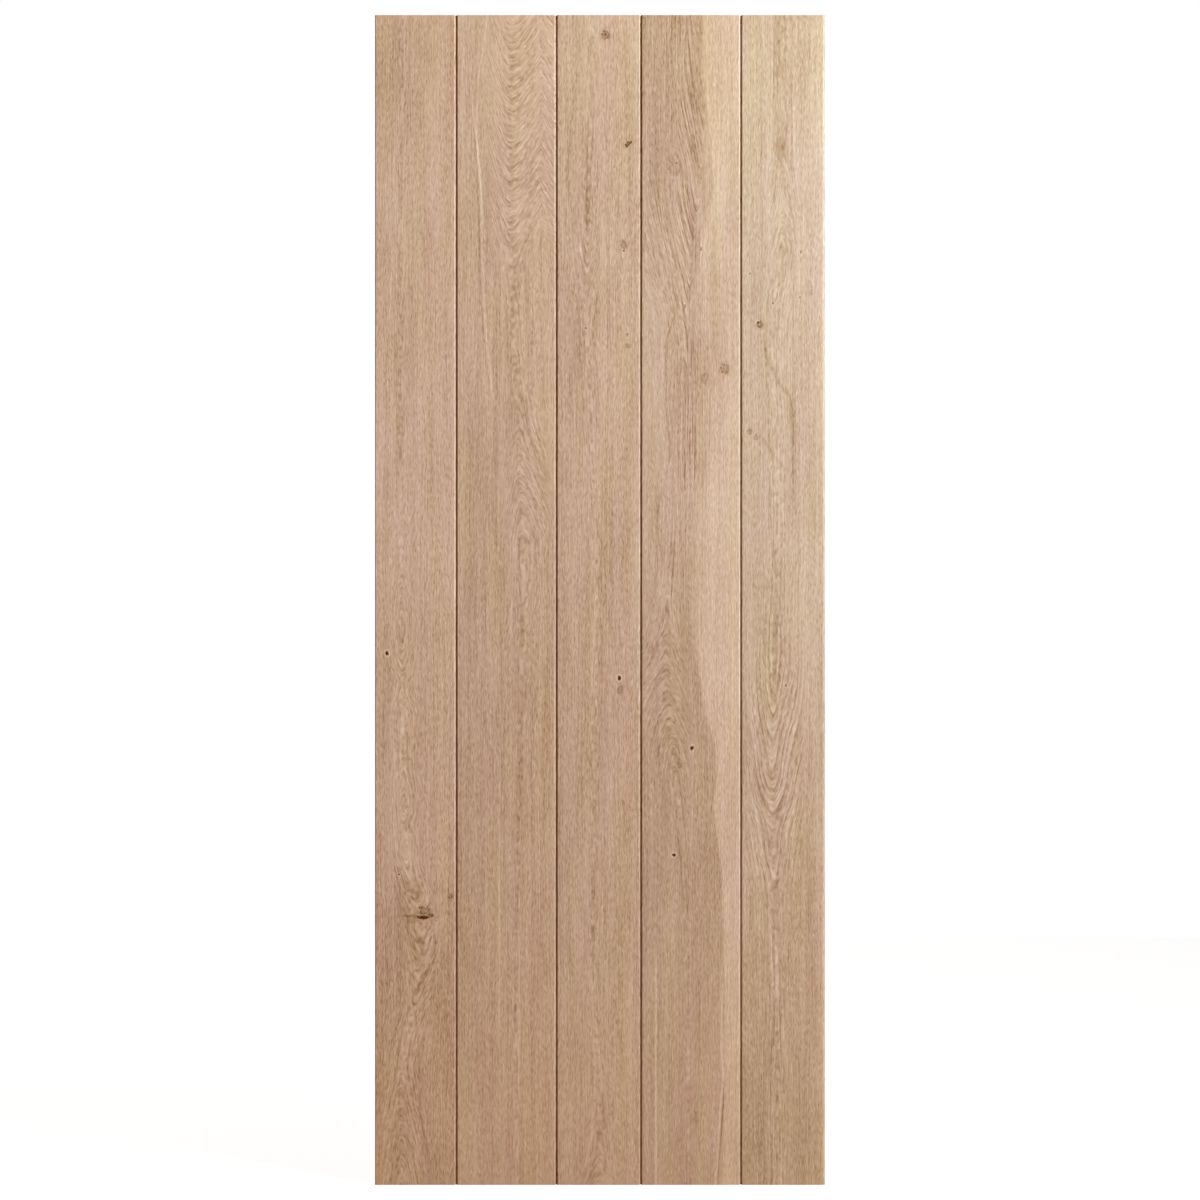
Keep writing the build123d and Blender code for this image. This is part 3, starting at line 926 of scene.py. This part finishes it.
# %% Right edge board
right_edge = {
    "heart": [
        (0, 300), (300, 300), (600, 294), (860, 295), (1200, 300), (1450, 290), (1620, 310), (1981, 308),
    ],
    "roundness": [
        (0, 2), (450, 4), (560, 10), (700, 9), (860, 6), (1000, 2), (1500, 2), (1600, 5), (1700, 2),
        (1981, 1),
    ],
    "climb": [
        (0, 48), (300, 52), (520, 54), (570, 47), (700, 24), (800, 5), (860, 0), (960, -2), (1300, 0),
        (1560, 2), (1600, 6), (1660, 16), (1720, 22), (1981, 24),
    ],
    "spread": (0.95, 0.9),
    "eyes": [(312, 770, 26, 70, 6), (278, 690, 24, 50, -6), (304, 606, 34, 46, 5), (276, 560, 30, 40, -4)],
    "reach": [
        (0, 14), (480, 16), (560, 40), (860, 42), (960, 22), (1100, 16), (1500, 18), (1580, 24),
        (1700, 26), (1981, 12),
    ],
    "ring_width": [(0, 6.4), (1981, 6.4)],
    "wander": 2.5,
    "ripple": [(0, 0.3), (480, 0.5), (600, 1.3), (860, 1.6), (1000, 0.3), (1981, 0.3)],
    "contrast": [
        (0, 0.12), (450, 0.18), (600, 0.46), (860, 0.44), (1000, 0.16), (1250, 0.16), (1480, 0.18),
        (1560, 0.1), (1640, 0.12), (1720, 0.08), (1981, 0.08),
    ],
    "shade": [
        (0, -0.05), (240, -0.03), (420, -0.05), (620, -0.05), (842, 0.01), (1050, 0.04), (1500, 0.07),
        (1800, 0.06), (1981, 0.0),
    ],
    "body": "#b6a290",
    "knots": [
        (271, 1457, 11, 12, 0.6, 7), (267.5, 1460.5, 4.5, 5, 1.0, 0), (292.8, 1493, 3.5, 5, 0.45, 1),
        (338.6, 1503, 3.5, 5, 0.35, 1), (254, 1543, 3.5, 5, 0.4, 1), (340.3, 1580, 3, 6, 0.4, 0),
        (357, 1512, 7, 9, 0.25, 2), (254, 1275, 8, 10, 0.35, 4), (264, 1266, 7, 9, 0.3, 3),
        (315, 846, 4, 5, 0.5, 1), (304.7, 1752, 16, 40, 0.15, 4), (294.6, 856, 14, 34, 0.15, 0),
    ],
    "zones": [
        ([(0, 372), (1981, 372)], [(0, 1), (1981, 1)], 14.0, 0.07),
        ([(1700, 306), (1981, 308)], [(1650, 0), (1750, 1), (1981, 1)], 19.0, -0.16),
        ([(1600, 325), (1981, 325)], [(1700, 0), (1780, 1), (1950, 1)], 3.0, -0.1),
        ([(1100, 326), (1160, 326), (1244, 328), (1329, 323), (1371, 296), (1444, 274)],
         [(1100, 0), (1180, 0.7), (1300, 1), (1400, 0.8), (1440, 0)], 9.0, -0.26),
        ([(1215, 309), (1245, 288), (1275, 268)],
         [(1205, 0), (1220, 1), (1255, 1), (1275, 0)], 6.0, -0.22),
        ([(1420, 309), (1440, 316), (1460, 320), (1482, 297)],
         [(1415, 0), (1435, 1), (1465, 0.7), (1485, 0)], 5.0, -0.22),
        ([(1000, 300), (1130, 290), (1240, 294)],
         [(1000, 0), (1060, 1), (1180, 1), (1240, 0)], 8.0, -0.16),
    ],
    "bundles": [([(0, 296), (400, 300), (520, 290)], [(0, 0.8), (350, 1), (520, 0)], 50.0, 0.9)],
}
dress_in_oak("right_edge_board", right_edge)

# %% [markdown]
# ## Ledges, pellets and screws
#
# The ledges are oak too, with the grain lying level, so their figure swaps the axes: across is up,
# and along is the X axis. The pellets that plug the screw holes are cut from darker oak with the
# grain lined up, since they never match quite. The screws are zinc plated steel, passivated to a
# faint yellow, and hide under the pellets.

# %% Ledges and pellets
LEFT_END, RIGHT_END = -361.0, 361.0
LEDGE_FACE = 20.0
LEDGE_OAK = "#b89e86"
PELLET_OAK = "#a08468"
PELLET_CLIMB = 13.0  # how much further its rings have climbed than the ledge's


def ledge_figure(ledge, end_climb, body):
    """Broad level arches without knots."""
    low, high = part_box(ledge)
    middle = (low.z + high.z) / 2 / MM

    def even(value):
        return [(LEFT_END, value), (RIGHT_END, value)]

    return {
        "axes": "ZYX",
        "face": LEDGE_FACE,
        "heart": [(LEFT_END, middle - 18), (-100, middle + 8), (150, middle - 6), (RIGHT_END, middle + 14)],
        "roundness": [(LEFT_END, 30), (0, 60), (RIGHT_END, 30)],
        "climb": [(LEFT_END, end_climb), (-140, 10), (120, 28), (RIGHT_END, end_climb / 2)],
        "reach": even(200),
        "wander": 5.0,
        "ripple": even(0.8),
        "contrast": even(0.12),
        "shade": even(0.0),
        # an even painted light cast
        "painted_light_cast": even(0.5),
        "body": body,
    }


# %% Screws, and dressing the back
def screw_steel(name):
    """Zinc plated steel, drawn and passivated: a soft sheen with fine lines round the shank."""
    material = blank_material(name)
    tree = material.node_tree
    place = in_millimetres(tree)
    cloud = grain_noise(tree, place, (2.0, 2.0, 2.0), detail=2.0)
    drawn = grain_noise(tree, place, (3.0, 0.3, 3.0))
    tint = ramp(tree, cloud, [(0.0, linear("#b3a06f")), (1.0, linear("#d6cfb4"))])
    rough = add(tree, "MapRange", {0: drawn, 3: 0.25, 4: 0.5})
    shader = add(tree, "BsdfPrincipled", {"Base Color": tint, "Metallic": 1.0, "Roughness": rough})
    add(tree, "OutputMaterial", {"Surface": shader})
    return material


SCREW_STEEL = screw_steel("zinc_plated_steel")
for ledge, climb in (("top_ledge", 4.0), ("middle_ledge", 22.0), ("bottom_ledge", 40.0)):
    dress_in_oak(ledge, ledge_figure(ledge, climb, LEDGE_OAK))
    dress_in_oak(ledge + "_pellets", ledge_figure(ledge, climb + PELLET_CLIMB, PELLET_OAK))
    dress(ledge + "_screws", SCREW_STEEL)

# %% [markdown]
# ## Studio
#
# The picture is a catalogue shot: a white ground, and one soft lamp high on the right, which lights
# the left slope of every V joint and leaves the other in shade. A weak warm lamp low on the right
# keeps the foot from going grey, and a lamp behind lights the ledges when the leaf is turned round.

# %% Camera
CAMERA_LENS = 85.0
SENSOR_WIDTH = 36.0
VIEW_WIDTH = 2.032

camera_data = bpy.data.cameras.new("catalogue_camera")
camera_data.lens = CAMERA_LENS
camera_data.sensor_width = SENSOR_WIDTH
camera = bpy.data.objects.new("catalogue_camera", camera_data)
camera.location = (LEAF_MIDDLE.x, LEAF_LOW.y - VIEW_WIDTH * CAMERA_LENS / SENSOR_WIDTH, LEAF_MIDDLE.z)
camera.rotation_euler = (math.radians(90), 0.0, 0.0)
bpy.context.scene.collection.objects.link(camera)
bpy.context.scene.camera = camera
print(f"camera {-camera.location.y:.2f} m in front of the leaf")


# %% Lamps
def soft_lamp(name, location, size, power, tint):
    """A square area lamp that looks at the middle of the leaf."""
    data = bpy.data.lights.new(name, "AREA")
    data.shape = "SQUARE"
    data.size = size
    data.energy = power
    data.color = linear(tint)[:3]
    lamp = bpy.data.objects.new(name, data)
    lamp.location = location
    direction = LEAF_MIDDLE - lamp.location
    lamp.rotation_euler = direction.to_track_quat("-Z", "Y").to_euler()
    bpy.context.scene.collection.objects.link(lamp)
    print(f"{name}, {power:.0f} W from {direction.length:.1f} m away")


soft_lamp("key_lamp", (1.9, -1.6, 2.8), 0.8, 126.0, "#e5f6ff")
soft_lamp("low_warm_lamp", (1.6, -2.0, 0.3), 1.0, 26.0, "#ffbc7b")
soft_lamp("back_lamp", (-2.2, 3.4, 2.8), 2.0, 150.0, "#ffffff")

# %% [markdown]
# ## White ground
#
# The world and the floor look white, but they light the leaf only weakly: the world gives a little
# even light, and the floor is a pale warm paint to the light that bounces off it. A Light Path node
# tells the two apart. Some of the paint shows through the white, so the leaf leaves a faint shadow.

# %% World and floor
AMBIENT = 0.13
FLOOR_SIZE = 7.0
FLOOR_GLOW = 1.15
GLOW_SHARE = 0.8


def seen_directly(tree):
    """A mask for what is looked at, straight, in a mirror or through glass."""
    path = add(tree, "LightPath").outputs
    return most(tree, [path["Is " + ray + " Ray"] for ray in ("Camera", "Glossy", "Transmission")])


world = bpy.data.worlds.new("studio_world")
bpy.context.scene.world = world
world.use_nodes = True
tree = world.node_tree
tree.nodes.clear()
light = add(tree, "Background", {"Color": WHITE, "Strength": AMBIENT})
white = add(tree, "Background", {"Color": WHITE, "Strength": 1.0})
chosen = add(tree, "MixShader", [seen_directly(tree), light, white])
add(tree, "OutputWorld", {"Surface": chosen})

floor_mesh = bpy.data.meshes.new("studio_floor")
half = FLOOR_SIZE / 2
corners = [(-half, -half, 0.0), (half, -half, 0.0), (half, half, 0.0), (-half, half, 0.0)]
floor_mesh.from_pydata(corners, [], [(0, 1, 2, 3)])
floor = bpy.data.objects.new("studio_floor", floor_mesh)
bpy.context.scene.collection.objects.link(floor)

paint = blank_material("pale_floor_paint")
tree = paint.node_tree
share = add(tree, "Math", [seen_directly(tree), GLOW_SHARE], operation="MULTIPLY")
matt = add(tree, "BsdfDiffuse", {"Color": linear("#d8cdbf")})
glow = add(tree, "Emission", {"Color": WHITE, "Strength": FLOOR_GLOW})
mixed = add(tree, "MixShader", [share, matt, glow])
add(tree, "OutputMaterial", {"Surface": mixed})
floor_mesh.materials.append(paint)

bpy.context.scene.view_settings.view_transform = "Standard"
print("studio ready")
